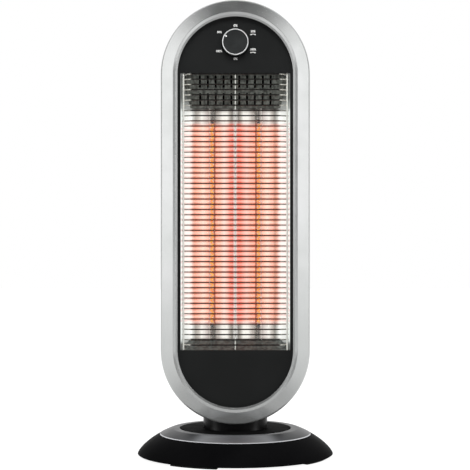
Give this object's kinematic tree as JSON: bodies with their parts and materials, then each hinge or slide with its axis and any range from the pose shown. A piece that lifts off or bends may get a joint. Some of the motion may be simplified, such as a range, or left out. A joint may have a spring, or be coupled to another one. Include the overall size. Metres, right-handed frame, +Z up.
{
  "type": "carbon heater",
  "caption": "Tall rounded carbon heater with glowing quartz tubes behind a wire guard, a rotary knob above, and a head that swings on a round stepped base",
  "frame": {"origin": "centre of the round footprint, on the floor plane under the rubber feet", "axes": "+Z up, the heated front faces -Y, +X is to the right of a person who looks at the front"},
  "size_m": [0.26, 0.26, 0.6005],
  "materials": {
    "base_black": "satin",
    "disc_black": "satin",
    "shell_black": "fine grain",
    "panel_black": "satin heat-resistant paint",
    "dark_silver": "satin dark silver paint",
    "silver_paint": "smooth silver paint",
    "knob_black": "satin",
    "white_mark": "printed dot",
    "dark_plastic": "moulded",
    "pale_plastic": "moulded",
    "rubber": "matte",
    "wire_sleeve": "silicone sleeve",
    "zinc_steel": "zinc plated",
    "spring_steel": "bright drawn",
    "chrome_wire": "plated wire",
    "dark_sheet": "heat-darkened sheet",
    "polished_sheet": "polished reflector sheet",
    "brass": "plain",
    "white_ceramic": "unglazed",
    "quartz": "clear quartz",
    "glowing_carbon": "glowing carbon fibre"
  },
  "bodies": {
    "base": {"base_shell": "base_black", "base_trim_ring": "dark_silver", "base_top_disc": "disc_black", "base_cover": "base_black", "rubber_feet": "rubber", "cover_screws": "zinc_steel", "disc_screws": "zinc_steel", "cord_gland": "rubber", "terminal_block": "pale_plastic", "terminal_screws": "brass", "tip_switch_holder": "dark_plastic", "tip_switch_body": "dark_plastic", "tip_switch_screws": "zinc_steel", "tip_spring": "spring_steel", "swing_motor": "zinc_steel", "motor_screws": "zinc_steel", "pivot_washer": "pale_plastic", "base_wiring": "wire_sleeve"},
    "head": {"neck_collar": "base_black", "swing_plate": "zinc_steel", "swing_plate_screws": "zinc_steel", "neck_bracket": "zinc_steel", "neck_screws": "zinc_steel", "rear_shell": "shell_black", "shell_screws": "zinc_steel", "front_frame": "silver_paint", "front_panel": "panel_black", "reflector": "polished_sheet", "upper_end_plate": "dark_sheet", "lower_end_plate": "dark_sheet", "reflector_screws": "zinc_steel", "reflector_side_screws": "zinc_steel", "upper_tube_bracket": "zinc_steel", "lower_tube_bracket": "zinc_steel", "upper_tube_caps": "white_ceramic", "lower_tube_caps": "white_ceramic", "quartz_tube_left": "quartz", "quartz_tube_right": "quartz", "carbon_element_left": "glowing_carbon", "carbon_element_right": "glowing_carbon", "element_leads": "spring_steel", "guard_wires": "chrome_wire", "guard_edge_wires": "chrome_wire", "guard_centre_wire": "chrome_wire", "switch_plate": "panel_black", "rotary_switch": "dark_plastic", "switch_terminals": "brass", "switch_screws": "zinc_steel", "thermal_cutout": "dark_plastic", "head_wiring": "wire_sleeve"},
    "crank": {"motor_shaft": "spring_steel", "crank_arm": "pale_plastic", "crank_pin": "spring_steel"},
    "plunger": {"tip_plunger": "pale_plastic"},
    "knob": {"knob": "knob_black", "knob_ring": "silver_paint", "knob_pointer": "white_mark", "switch_shaft": "spring_steel"}
  },
  "joints": [
    {"name": "head_swing", "type": "hinge", "parent": "base", "child": "head", "pos_m": [0, 0, 0.0368], "axis": [0, 0, 1], "range_deg": [-35, 35]},
    {"name": "crank_turn", "type": "hinge", "parent": "base", "child": "crank", "pos_m": [-0.038, 0, 0.0275], "axis": [0, 0, 1], "range_deg": [-101, 101]},
    {"name": "plunger_slide", "type": "slide", "parent": "base", "child": "plunger", "axis": [0, 0, -1], "range_m": [0, 0.004], "stiffness_N_per_m": 150, "springref_m": 0.006, "deforming": ["tip_spring"]},
    {"name": "knob_turn", "type": "hinge", "parent": "head", "child": "knob", "pos_m": [0, -0.04, 0.5448], "axis": [0, 1, 0], "continuous": true}
  ],
  "couplings": [
    {"joint": "crank_turn", "follows": "head_swing", "ratio": 2.86}
  ]
}
